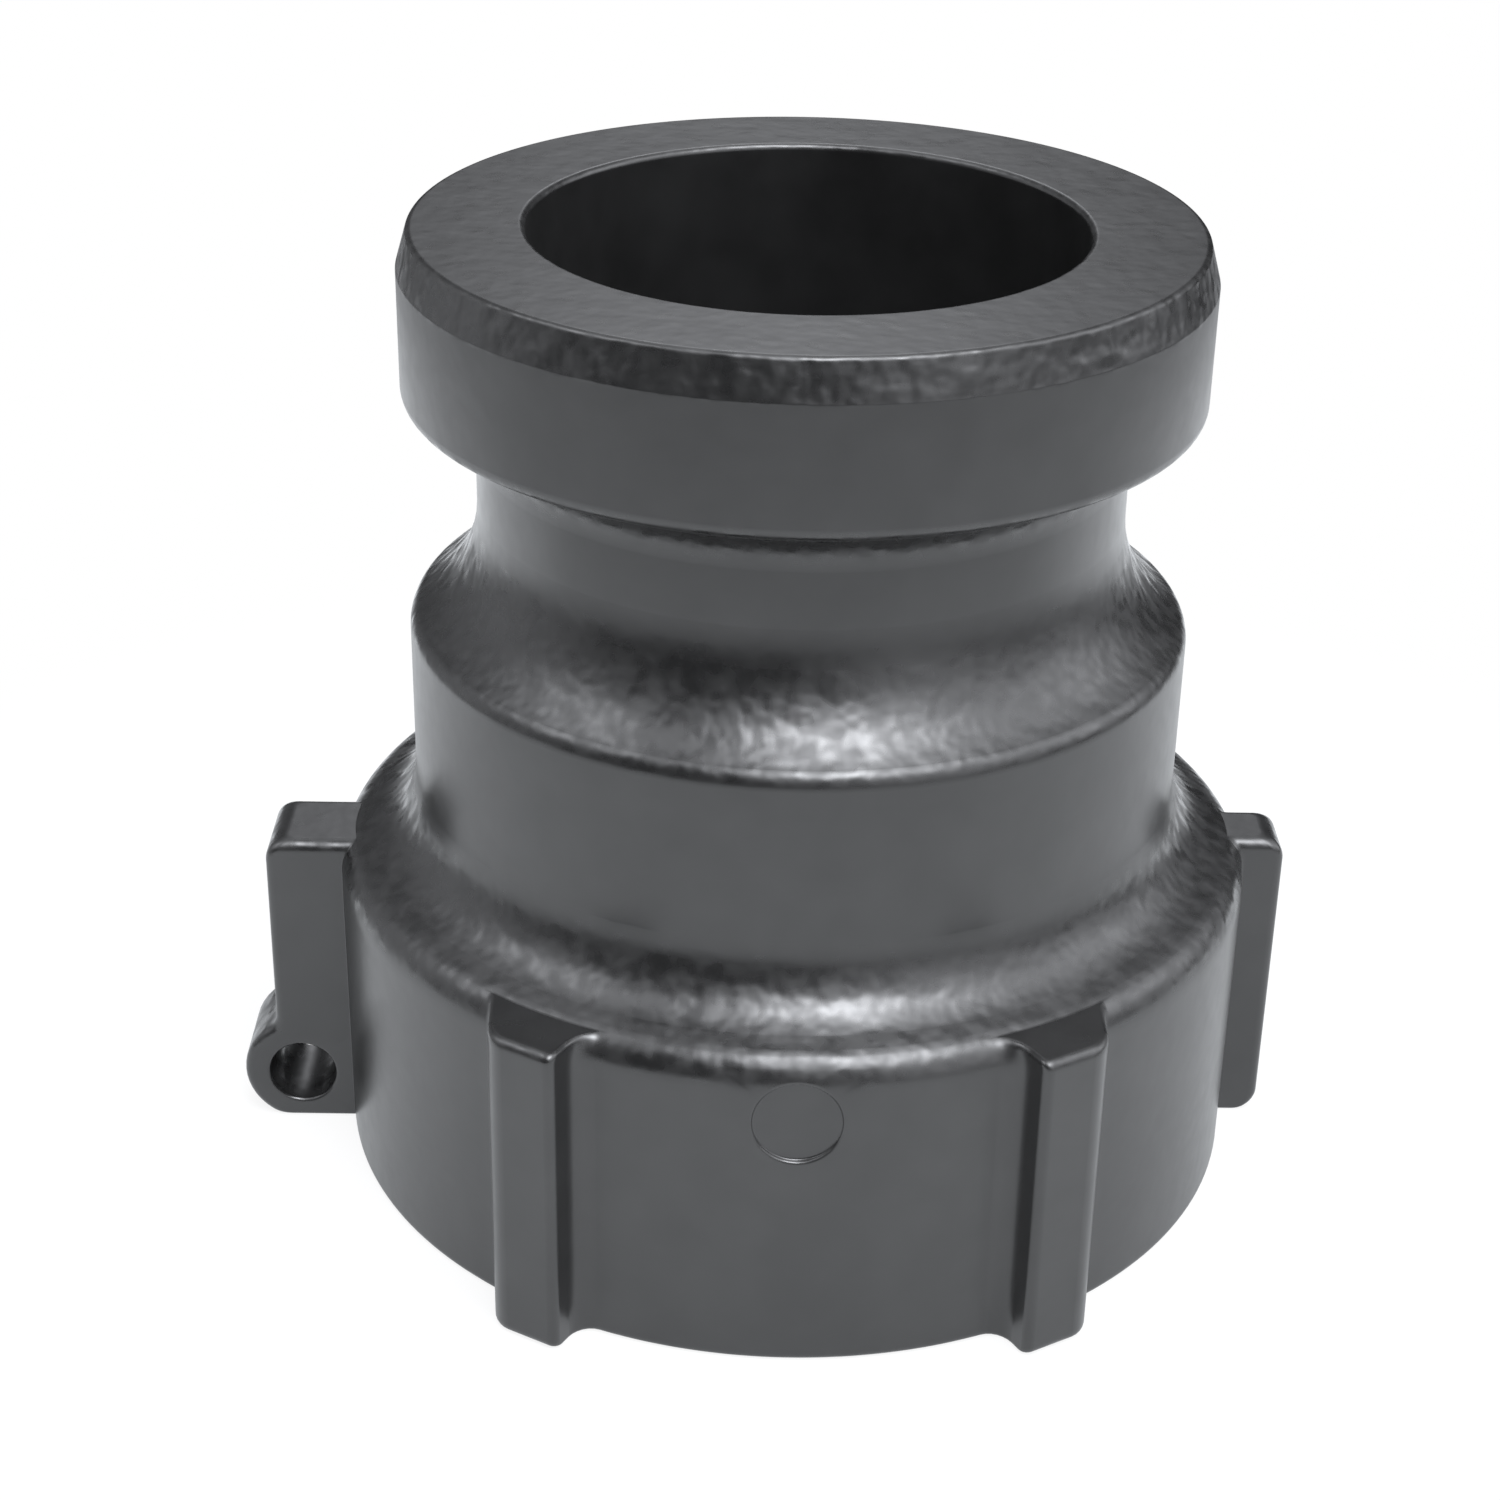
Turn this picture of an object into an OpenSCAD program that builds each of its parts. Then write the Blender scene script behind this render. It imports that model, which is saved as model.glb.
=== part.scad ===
// Cam and groove adapter, 2 in, moulded in one piece: a grooved male coupling end above a pipe socket.
// The origin is the centre of the socket's end face, and +Z runs up through the coupling end.

/* [Coupling end] */
// Height from the socket's end face to the sealing face
total_h = 79; // [74:0.5:90]
// Diameter of the coupling rim
rim_d = 63; // [60:0.1:66]
// Height of the rim, from its lower corner to the sealing face
rim_h = 12.9; // [10:0.1:15]
// Radial depth of the lead-in taper round the sealing face
lead_in = 0.9; // [0.5:0.1:1.5]
// Height of the lead-in taper
lead_h = 3.1; // [2:0.1:4]
// Diameter at the bottom of the cam groove
neck_d = 51.6; // [50:0.1:54]
// Radius between the neck and the rim's underside
groove_r = 4; // [2:0.1:4.5]
// Slope of the rim's underside above the horizontal, in degrees
underside_slope = 20; // [10:1:30]
// Radius of the rim's lower corner
lip_r = 0.7; // [0.3:0.1:1]

/* [Shoulder and barrel] */
// Diameter of the barrel under the groove
barrel_d = 62.8; // [61:0.1:65]
// Height of the barrel's upper corner
barrel_top = 47.2; // [45:0.1:49]
// Slope of the shoulder's outer edge above the horizontal, in degrees
shoulder_slope = 33; // [30:1:40]
// Radius of the cove between the neck and the shoulder's edge
cove_r = 11.4; // [8:0.1:11.4]
// Radius of the barrel's upper corner
barrel_edge_r = 0.45; // [0.2:0.05:0.45]

/* [Collar] */
// Diameter of the socket's collar
collar_d = 75.8; // [74:0.1:78]
// Height of the collar's upper corner
collar_h = 26.6; // [25.6:0.1:28]
// Slope of the collar's top above the horizontal, in degrees
collar_slope = 24; // [18:1:28]
// Radius of the collar's upper corner
collar_edge_r = 3; // [1.5:0.1:3.2]
// Radius of the fillet between the collar and the barrel
fillet_r = 6; // [3:0.1:6.5]
// Radius of the collar's lower corner
foot_r = 0.6; // [0.3:0.1:1]

/* [Waterway] */
// Diameter of the flow bore through the coupling end
bore_d = 43.2; // [41:0.1:44]
// Radius of the bore's mouth and of the sealing face's outer corner
mouth_r = 0.5; // [0.2:0.1:0.8]
// Diameter of the chamber under the cone
chamber_d = 52.4; // [51:0.1:53]
// Height where the cone meets the flow bore
cone_top = 54; // [53.5:0.1:55]
// Height where the cone meets the chamber
cone_bottom = 43; // [41:0.1:44]
// Radius that blends both ends of the cone
cone_blend_r = 8; // [2:0.5:10]

/* [Pipe socket] */
// Diameter at the roots of the pipe thread
socket_d = 59.5; // [58:0.1:61]
// Depth of the socket, from its end face to the ledge that stops the pipe
socket_depth = 24; // [21:0.5:24.5]
// Size of the chamfer round the socket's mouth
socket_chamfer = 0.5; // [0.3:0.1:0.5]

/* [Lugs] */
// Number of lugs round the collar, the one with the eye included
lug_count = 6; // [4:2:8]
// Height of the lugs
lug_h = 27.1; // [25:0.1:27.2]
// Distance from the axis to a lug's outer face
lug_reach = 41.4; // [40.5:0.1:43]
// Width of a lug
lug_w = 5.7; // [4:0.1:8]
// Radius where a lug's sides meet the collar
lug_root_r = 1.2; // [0.5:0.1:1.5]
// Radius of a lug's upright outer edges
lug_edge_r = 0.5; // [0.2:0.1:1]
// Radius of the outer corners at the top and foot of the four lugs at the front and back
lug_nose_r = 0.8; // [0.5:0.1:1.5]
// Radius of those corners on the two lugs at the sides
side_lug_nose_r = 1.9; // [0.5:0.1:2.5]

/* [Eye lug] */
// Distance from the axis to the eye lug's outer face
eye_lug_reach = 43.9; // [43:0.1:45]
// How far the eye lug stands out in front of a plain lug's face
eye_lug_extra = 2.75; // [0:0.05:4]
// How far the eye lug's back lies inside a plain lug's
eye_lug_inset = 0.45; // [0:0.05:1]
// Height of the eye lug
eye_lug_h = 27; // [25:0.1:27.2]
// Radius where the eye lug's sides meet the collar
eye_lug_root_r = 0.4; // [0.3:0.1:1.2]
// Distance from the axis to the middle of the eye
eye_x = 41.85; // [41:0.05:43]
// Height of the middle of the eye
eye_z = 4.4; // [4:0.1:6]
// Radius of the eye's outside
eye_r = 5; // [4.5:0.1:5.5]
// Diameter of the hole in the eye
eye_hole_d = 5.6; // [4:0.1:6]
// Radius where the eye blends into the lug above it
eye_blend_r = 1.6; // [0.5:0.1:2.5]

/* [Moulding mark] */
// Diameter of the plain sunk disc between the two front lugs
mark_d = 6.8; // [4:0.1:8]
// Height of the disc's middle
mark_z = 22; // [18:0.1:22]
// How deep the disc's flat face lies under the collar's surface at its middle
mark_depth = 0.4; // [0.3:0.05:0.6]

/* [Hidden] */
$fn = 96;

rim_r = rim_d / 2;
neck_r = neck_d / 2;
barrel_r = barrel_d / 2;
collar_r = collar_d / 2;
bore_r = bore_d / 2;
chamber_r = chamber_d / 2;
socket_r = socket_d / 2;
lug_pitch = 360 / lug_count;
// Inner end of every lug, well inside the collar's wall and clear of the thread
lug_inner = (collar_r + socket_r) / 2;
eye_lug_front = lug_w / 2 + eye_lug_extra;
eye_lug_back = lug_w / 2 - eye_lug_inset;
// The plain disc faces the front, in the middle of the gap between two lugs
mark_angle = (floor(270 / lug_pitch) + 0.5) * lug_pitch;
// Cuts run this far past the faces that they open
over = 1;
// How far the ends of a lug's fillets lie under the collar's surface
lug_bite = 0.02;
// Height above the collar's upper corner where the cone starts that cuts the fillets back
cut_rise = 0.4;
// How far a rounding's circle passes its sides, so that it crosses them cleanly
arc_overlap = 0.002;
// Length of a rounding's mask past that crossing, as a multiple of the crossing's own distance
mask_run = 1.5;
// The most of one side that the roundings at its two ends take up together
max_take = 0.97;

// Corners of the wall's section: radius from the axis, height, and the rounding there.
// They run up the outside from the socket's mouth, over the sealing face and down the waterway.
SECTION = [
    [socket_r + socket_chamfer, 0, 0],
    [collar_r, 0, foot_r],
    [collar_r, collar_h, collar_edge_r],
    [barrel_r, collar_h + (collar_r - barrel_r) * tan(collar_slope), fillet_r],
    [barrel_r, barrel_top, barrel_edge_r],
    [neck_r, barrel_top + (barrel_r - neck_r) * tan(shoulder_slope), cove_r],
    [neck_r, total_h - rim_h - (rim_r - neck_r) * tan(underside_slope), groove_r],
    [rim_r, total_h - rim_h, lip_r],
    [rim_r, total_h - lead_h, 0],
    [rim_r - lead_in, total_h, mouth_r],
    [bore_r, total_h, mouth_r],
    [bore_r, cone_top, cone_blend_r],
    [chamber_r, cone_bottom, cone_blend_r],
    [chamber_r, socket_depth, 0],
    [socket_r, socket_depth, 0],
    [socket_r, socket_chamfer, 0]
];

// Unit vector from a towards b
function towards(a, b) = [b[0] - a[0], b[1] - a[1]] / norm([b[0] - a[0], b[1] - a[1]]);

// The corner before or after number i
function neighbour(corners, i, step) = corners[(i + step + len(corners)) % len(corners)];

// Half of the angle between the two sides that meet at corner i
function half_angle(corners, i) =
    acos(towards(corners[i], neighbour(corners, i, -1)) * towards(corners[i], neighbour(corners, i, 1))) / 2;

// How much of each side the rounding at corner i takes up
function take(corners, i) = corners[i][2] / tan(half_angle(corners, i));

// Share of its rounding that corner i keeps, so that the two roundings on one side leave a straight between them
function share(corners, i, step) =
    let (
        a = corners[i],
        b = neighbour(corners, i, step),
        side = norm([b[0] - a[0], b[1] - a[1]]),
        wanted = take(corners, i) + take(corners, (i + step + len(corners)) % len(corners))
    )
    wanted > side * max_take ? side * max_take / wanted : 1;

// Radius of the rounding at corner i after that limit
function fitted(corners, i) = corners[i][2] * min(share(corners, i, -1), share(corners, i, 1));

// Centre of the rounding at corner i, nearer to both sides than its radius by the arc's overlap
function corner_centre(corners, i) =
    let (
        p = corners[i],
        middle = towards(p, neighbour(corners, i, -1)) + towards(p, neighbour(corners, i, 1)),
        away = (fitted(corners, i) - arc_overlap) / sin(half_angle(corners, i))
    )
    [p[0], p[1]] + middle / norm(middle) * away;

// The point on the side towards the neighbour that lies square to the rounding's centre, moved on by extra
function corner_end(corners, i, step, extra) =
    let (p = corners[i], along = (fitted(corners, i) - arc_overlap) / tan(half_angle(corners, i)) + extra)
    [p[0], p[1]] + towards(p, neighbour(corners, i, step)) * along;

// True where an outline drawn anticlockwise turns left at corner i, which is convex
function is_convex(corners, i) =
    let (a = neighbour(corners, i, -1), p = corners[i], b = neighbour(corners, i, 1))
    (p[0] - a[0]) * (b[1] - p[1]) - (p[1] - a[1]) * (b[0] - p[0]) > 0;

// The part of each rounding's circle near its corner, on convex or on concave corners.
// The circle crosses both sides at a small clean angle, and its mask runs on past both crossings.
module arc_parts(corners, convex) {
    for (i = [0 : len(corners) - 1]) {
        if (corners[i][2] > 0 && is_convex(corners, i) == convex) {
            r = fitted(corners, i);
            centre = corner_centre(corners, i);
            past = mask_run * sqrt(pow(r, 2) - pow(r - arc_overlap, 2));
            intersection() {
                translate(centre) circle(r);
                polygon([
                    corner_end(corners, i, -1, past),
                    2 * [corners[i][0], corners[i][1]] - centre,
                    corner_end(corners, i, 1, past)
                ]);
            }
        }
    }
}

// An outline with its corners rounded by true arcs. Each corner is [x, y, radius], anticlockwise.
module rounded_outline(corners) {
    difference() {
        union() {
            polygon([
                for (i = [0 : len(corners) - 1])
                    each corners[i][2] == 0
                        ? [[corners[i][0], corners[i][1]]]
                        : [corner_end(corners, i, -1, 0), corner_end(corners, i, 1, 0)]
            ]);
            arc_parts(corners, true);
        }
        arc_parts(corners, false);
    }
}

// The turned wall: socket, collar, barrel, cam groove, rim and waterway in one section
module wall() {
    rotate_extrude() rounded_outline(SECTION);
}

// Upright outline of a lug in the plane through the axis, from the wall out to its nose
module lug_side(reach, height, top_r, foot_r) {
    rounded_outline([
        [lug_inner, 0, 0],
        [reach, 0, foot_r],
        [reach, height, top_r],
        [lug_inner, height, 0]
    ]);
}

// A lug without its fillets, on the +X side of the collar
module lug_core(reach, height, top_r, foot_r, front, back) {
    intersection() {
        linear_extrude(height)
            rounded_outline([
                [lug_inner, -front, 0],
                [reach, -front, lug_edge_r],
                [reach, back, lug_edge_r],
                [lug_inner, back, 0]
            ]);
        translate([0, back + over, 0])
            rotate([90, 0, 0])
            linear_extrude(front + back + 2 * over) lug_side(reach, height, top_r, foot_r);
    }
}

// Where a lug's root fillet ends, just under the collar's surface, so that it meets it at a small clean angle
function root_of(side, root_r) = sqrt(pow(collar_r, 2) - pow(side + root_r, 2)) - lug_bite;

// The fillets down both sides of a lug. A cone cuts them back over the collar's rounded edge.
module lug_roots(height, front, back, root_r) {
    outer = min(root_of(front, root_r), root_of(back, root_r)) + 2 * root_r;
    // The cone falls away outwards from a little inside the start of the collar's rounded edge
    cut_inner = collar_r - collar_edge_r / 2;
    cut_outer = collar_r + 2 * root_r;
    cut_slope = 42;
    intersection() {
        linear_extrude(height)
            rounded_outline([
                [lug_inner, -front - root_r, 0],
                [root_of(front, root_r), -front - root_r, 0],
                [root_of(front, root_r), -front, root_r],
                [outer, -front, 0],
                [outer, back, 0],
                [root_of(back, root_r), back, root_r],
                [root_of(back, root_r), back + root_r, 0],
                [lug_inner, back + root_r, 0]
            ]);
        rotate_extrude()
            polygon([
                [lug_inner - over, -over],
                [cut_outer, -over],
                [cut_outer, collar_h + cut_rise - (cut_outer - cut_inner) * tan(cut_slope)],
                [cut_inner, collar_h + cut_rise],
                [lug_inner - over, collar_h + cut_rise]
            ]);
    }
}

// One lug on the +X side of the collar
module lug(reach, height, top_r, foot_r, front, back, root_r) {
    lug_core(reach, height, top_r, foot_r, front, back);
    lug_roots(height, front, back, root_r);
}

// Middle of the round that blends the eye into the lug's outer face above it
function eye_blend_centre() =
    let (across = eye_lug_reach + eye_blend_r - eye_x)
    [eye_lug_reach + eye_blend_r, eye_z + sqrt(pow(eye_r + eye_blend_r, 2) - pow(across, 2))];

// The hollow fillet between the eye and the lug above it, in the plane through the axis
module eye_blend() {
    centre = eye_blend_centre();
    difference() {
        polygon([
            [eye_x, eye_z],
            [eye_x, eye_z] + towards([eye_x, eye_z], centre) * eye_r,
            [eye_lug_reach, centre[1]]
        ]);
        translate(centre) circle(eye_blend_r);
    }
}

// The eye's round plate, cut off level with the collar's end face
module eye_plate() {
    thick = eye_lug_front + eye_lug_back;
    intersection() {
        translate([eye_x, eye_lug_back, eye_z])
            rotate([90, 0, 0])
            rotate_extrude()
            rounded_outline([
                [0, 0, 0],
                [eye_r, 0, lug_edge_r],
                [eye_r, thick, lug_edge_r],
                [0, thick, 0]
            ]);
        translate([lug_inner, -eye_lug_front, 0])
            cube([eye_x + eye_r - lug_inner, thick, eye_z + eye_r]);
    }
}

// The hole in the eye, square to the plate
module eye_hole() {
    translate([eye_x, eye_lug_back + over, eye_z])
        rotate([90, 0, 0])
        cylinder(h = eye_lug_front + eye_lug_back + 2 * over, d = eye_hole_d);
}

// The thicker lug that carries the lanyard eye at its foot, on the +X side of the collar
module eye_lug() {
    difference() {
        union() {
            lug(eye_lug_reach, eye_lug_h, side_lug_nose_r, 0, eye_lug_front, eye_lug_back, eye_lug_root_r);
            eye_plate();
            translate([0, eye_lug_back - lug_edge_r, 0])
                rotate([90, 0, 0])
                linear_extrude(eye_lug_front + eye_lug_back - 2 * lug_edge_r) eye_blend();
        }
        eye_hole();
    }
}

// A plain lug. The one at 0 degrees is the side lug, opposite the eye.
module plain_lug(i) {
    nose_r = i == 0 ? side_lug_nose_r : lug_nose_r;
    lug(lug_reach, lug_h, nose_r, nose_r, lug_w / 2, lug_w / 2, lug_root_r);
}

// The plain disc sunk into the collar, on the +X side
module moulding_mark() {
    translate([collar_r - mark_depth, 0, mark_z])
        rotate([0, 90, 0])
        cylinder(h = over + mark_depth, d = mark_d);
}

module adapter_body() {
    color("dimgray")
    difference() {
        union() {
            wall();
            for (i = [0 : lug_count - 1])
                if (i != lug_count / 2)
                    rotate([0, 0, i * lug_pitch]) plain_lug(i);
            mirror([1, 0, 0]) eye_lug();
        }
        rotate([0, 0, mark_angle]) moulding_mark();
    }
}

adapter_body();
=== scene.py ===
# %% [markdown]
# # A cam and groove adapter, moulded in one piece
# This is the male half of a two inch cam and groove hose coupling: a grooved end that the arms of
# the other half grip, above a collar with a threaded pipe socket. It is injection moulded in black
# glass-filled polypropylene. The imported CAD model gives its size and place, and this script gives
# it the surface that the eye expects: even curves with no facets, soft moulded edges, the thread
# in its socket and the faint orange peel of filled plastic.

# %% [markdown]
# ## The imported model
# The CAD model comes in as a fixed frame, in metres, with +Z up through the coupling end and the
# front of the adapter towards -Y. All the lengths below are in millimetres, as on a drawing.

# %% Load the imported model
import math

import bmesh
import bpy
import numpy as np
from mathutils import Matrix


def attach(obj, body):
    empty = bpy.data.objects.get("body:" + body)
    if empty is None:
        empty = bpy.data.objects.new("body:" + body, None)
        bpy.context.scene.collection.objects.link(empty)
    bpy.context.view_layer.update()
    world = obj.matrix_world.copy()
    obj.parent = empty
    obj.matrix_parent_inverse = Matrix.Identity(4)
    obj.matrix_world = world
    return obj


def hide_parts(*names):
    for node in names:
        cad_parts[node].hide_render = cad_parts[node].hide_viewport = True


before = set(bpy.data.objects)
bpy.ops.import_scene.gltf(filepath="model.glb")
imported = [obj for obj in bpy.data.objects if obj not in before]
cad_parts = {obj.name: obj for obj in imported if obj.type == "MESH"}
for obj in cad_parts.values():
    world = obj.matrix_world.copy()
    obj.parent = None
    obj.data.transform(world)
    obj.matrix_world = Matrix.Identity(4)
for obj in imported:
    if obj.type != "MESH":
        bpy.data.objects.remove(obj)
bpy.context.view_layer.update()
MM = 0.001

# %% [markdown]
# ## Two small helpers
# Colours are written as sRGB hex values, which is how they are read off a screen, and one
# function turns them to the linear values that a shader adds and multiplies. The other function
# adds a node to a tree: plain values go onto its sockets, and sockets are linked to them.

# %% Colour and node helpers


def linear(hex_colour):
    """An sRGB hex colour as linear RGBA: each channel goes through the sRGB curve backwards."""
    channels = np.array([int(hex_colour[i : i + 2], 16) for i in (1, 3, 5)]) / 255
    low = channels / 12.92
    high = ((channels + 0.055) / 1.055) ** 2.4
    return (*np.where(channels <= 0.04045, low, high), 1.0)


def add_node(tree, kind, inputs=None, **settings):
    """Adds one shader node. Settings are its attributes; inputs are values, or sockets to link."""
    node = tree.nodes.new(kind)
    for name, value in settings.items():
        setattr(node, name, value)
    for key, value in (inputs or {}).items():
        if isinstance(value, bpy.types.NodeSocket):
            tree.links.new(value, node.inputs[key])
        else:
            node.inputs[key].default_value = value
    return node


# %% [markdown]
# ## The turned section
# Without its lugs the adapter is a turned part, so half of its section says nearly everything. The
# corners run up the outside from the socket's mouth, over the sealing face, down the flow bore and
# back through the socket. Each has the radius that rounds it. A moulded corner is never quite
# sharp, so the corners that the drawing leaves sharp get a few tenths of a millimetre here. The
# barrel's upper corner and the rim's lower one are rounder still, as they look in the photograph.

# %% Corners of the section
SECTION = [
    # radius, height, rounding
    (30.25, 0.0, 0.15),
    (37.9, 0.0, 0.6),
    (37.9, 26.6, 3.0),
    (31.4, 29.494, 6.0),
    (31.4, 47.2, 1.7),
    (25.8, 50.837, 10.55),
    (25.8, 64.025, 4.0),
    (31.5, 65.9, 1.15),
    (31.5, 75.9, 0.35),
    (30.6, 79.0, 0.5),
    (21.6, 79.0, 0.5),
    (21.6, 54.0, 8.0),
    (26.2, 43.0, 8.0),
    (26.2, 24.0, 0.4),
    (29.75, 24.0, 0.3),
    (29.75, 0.5, 0.15),
]
ARC_STEP = math.radians(9)
LONGEST_STEP = 6.0
GUARD, LONGEST_GUARD = 0.06, 0.2


def unit(vectors):
    """Vectors divided by their own lengths."""
    return vectors / np.linalg.norm(vectors, axis=-1, keepdims=True)


def straight_run(start, end):
    """Points along a straight from start to end, with one guard point close to each end.

    The guard points keep the shading of the rounding beside them off the flat. They stand GUARD
    millimetres from the end, or LONGEST_GUARD of the length where the straight is short.
    """
    length = np.linalg.norm(end - start)
    count = max(2, math.ceil(length / LONGEST_STEP) + 1)
    share = np.linspace(0, 1, count)
    guard = min(GUARD / length, LONGEST_GUARD)
    share = np.unique(np.concatenate([share, [guard, 1 - guard]]))[1:-1]
    return start + (end - start) * share[:, None]


def rounded_section(corners):
    """The section as one closed polyline, with a true arc at each corner.

    At a corner of half angle h and radius r the arc starts r / tan(h) along each side, and its
    centre lies r / sin(h) along the line that halves the corner.
    """
    corners = np.array(corners)
    place, radius = corners[:, :2], corners[:, 2]
    back = unit(np.roll(place, 1, axis=0) - place)
    ahead = unit(np.roll(place, -1, axis=0) - place)
    half = np.arccos(np.sum(back * ahead, axis=1)) / 2
    centre = place + unit(back + ahead) * (radius / np.sin(half))[:, None]
    enter = place + back * (radius / np.tan(half))[:, None]
    leave = place + ahead * (radius / np.tan(half))[:, None]
    pieces = []
    for i in range(len(corners)):
        first, last = enter[i] - centre[i], leave[i] - centre[i]
        begin = math.atan2(first[1], first[0])
        turn = (math.atan2(last[1], last[0]) - begin + math.pi) % (2 * math.pi) - math.pi
        count = max(3, math.ceil(abs(turn) / ARC_STEP)) + 1
        angle = begin + np.linspace(0, turn, count)
        arc = centre[i] + radius[i] * np.stack([np.cos(angle), np.sin(angle)], axis=1)
        pieces += [arc, straight_run(leave[i], enter[(i + 1) % len(corners)])]
    return np.concatenate(pieces)


section = rounded_section(SECTION)
print("Section:", len(section), "points, highest", section[:, 1].max(), "mm")

# %% [markdown]
# ## Rows of the collar
# The collar is not round: it carries six lugs. It is built as a stack of closed outlines, one for
# each height, and every outline has the same number of points, so that the stack makes a net of
# clean quads. The rows crowd together where the edges of a lug are rounded, at its foot and at
# its top, and lie a little closer where the eye and the small sunk disc need them.

# %% Heights of the rows
COLLAR_R, FOOT_R, EDGE_R = 37.9, 0.6, 3.0
EDGE_MID_R, EDGE_MID_Z = 34.9, 24.652
LUG_TOP = 27.1
CROWDED = [0, 0.01, 0.04, 0.09, 0.17, 0.28, 0.42, 0.6, 0.8, 1.05, 1.35, 1.65, 1.9]
EYE_ROWS = [2.5, 3.1, 3.75, 4.4, 5.05, 5.7, 6.3, 6.9, 7.5, 8.1, 8.35, 8.566, 8.8, 9.1, 9.5, 9.9]
UPPER_ROWS = [11.2, 12.5, 13.8, 15.1, 16.4, 17.6, 18.4, 19.2, 20, 20.8, 21.6, 22.4, 23.2, 24, 24.652]
rows_z = np.array(sorted(set(CROWDED + EYE_ROWS + UPPER_ROWS + [round(LUG_TOP - z, 3) for z in CROWDED])))
print("Collar rows:", len(rows_z))


def collar_radius(z):
    """Radius of the collar's wall: it is cut back by a quarter circle at the foot and at the top.

    On a rounding of radius r, a point at height d past the arc's middle is at root(r^2 - d^2).
    """
    foot = COLLAR_R - FOOT_R + np.sqrt(FOOT_R**2 - np.clip(FOOT_R - z, 0, FOOT_R) ** 2)
    past = np.clip(z - EDGE_MID_Z, 0, EDGE_R)
    return np.minimum(foot, EDGE_MID_R + np.sqrt(EDGE_R**2 - past**2))


def edge_loss(z, radius, low, high):
    """How far a rounding takes a face back at height z, from its lower end and from its upper end.

    It is r - root(r^2 - d^2), where d is how far the row lies inside the rounding.
    """
    lower, upper = radius
    loss = np.zeros_like(z)
    for r, depth in ((lower, low + lower - z), (upper, z - high + upper)):
        if r > 0:
            d = np.clip(depth, 0, r)
            loss += r - np.sqrt(r**2 - d**2)
    return loss


# %% [markdown]
# ## Lugs
# A lug is a block with a flat front, rounded upright edges and a hollow fillet down each side. On
# the wall that fillet is a quarter circle. Over the collar's rounded edge a rolling ball would
# stretch it outwards, by the same amount that the wall leans, so its level section turns into a
# quarter ellipse. The lug with the lanyard eye is wider, and its outer face follows the eye's
# circle at the foot, so the same outline makes both.
#
# The mould opens to the front and to the back. A side that would hold the part in the mould leans
# until it runs straight back, which is why the four lugs at the front and back are not symmetric.

# %% Outline of one lug
FOOT_EDGE_R = 0.3
CORNER_R = 0.7
# A leaning side turns less sharply into the face, in a wider rounding. No rounding is longer than
# LONGEST_CORNER along the side, and no fillet is stretched to more than 1 / LEAST_LEAN times
SPLAYED_CORNER_R = LONGEST_CORNER = 1.3
LEAST_LEAN = 0.2
# The first point on a face, as a share of its half width
FACE_START = 0.05
# The eye's ring and the hollow arc above it: distance of the middle from the axis, height, radius
RING_OUT, RING_Z, RING_R = 41.85, 4.4, 5.0
HOLLOW_OUT, HOLLOW_Z, HOLLOW_R = 45.5, 9.899, 1.6
# Height where the two arcs meet
ARCS_MEET = 8.566


def eye_reach(z):
    """Outer face of the eye lug: the eye's circle, a hollow arc above it, and then a plain face.

    Each arc is root(radius^2 - d^2) away from its middle, where d is the height past it. Also
    returns how level the face's normal is, from 0 to 1.
    """
    ring = np.sqrt(np.clip(RING_R**2 - (z - RING_Z) ** 2, 0, None))
    hollow = np.sqrt(np.clip(HOLLOW_R**2 - (HOLLOW_Z - z) ** 2, 0, None))
    plain = HOLLOW_OUT - HOLLOW_R
    reach = np.where(z < HOLLOW_Z, HOLLOW_OUT - hollow, plain)
    level = np.where(z < HOLLOW_Z, hollow / HOLLOW_R, 1.0)
    on_ring = z < ARCS_MEET
    return np.where(on_ring, RING_OUT + ring, reach), np.where(on_ring, ring / RING_R, level)


def arc_share(count):
    """Angles of a quarter turn in equal steps, both ends included."""
    return np.linspace(0, math.pi / 2, count + 1)


def side_share(count):
    """Shares along a flat side, even but for one guard point near each end."""
    guard = 0.03
    return np.concatenate([[0, guard], np.linspace(0, 1, count)[1:-1], [1 - guard, 1]])


def line_meets_circle(offset, slope, radius):
    """Outer x at which the line y = offset - slope * x crosses a circle round the axis.

    It solves (1 + slope^2) x^2 - 2 offset slope x + offset^2 - radius^2 = 0.
    """
    square = 1 + slope**2
    half = offset * slope
    return (half + np.sqrt(half**2 - square * (offset**2 - radius**2))) / square


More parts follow.
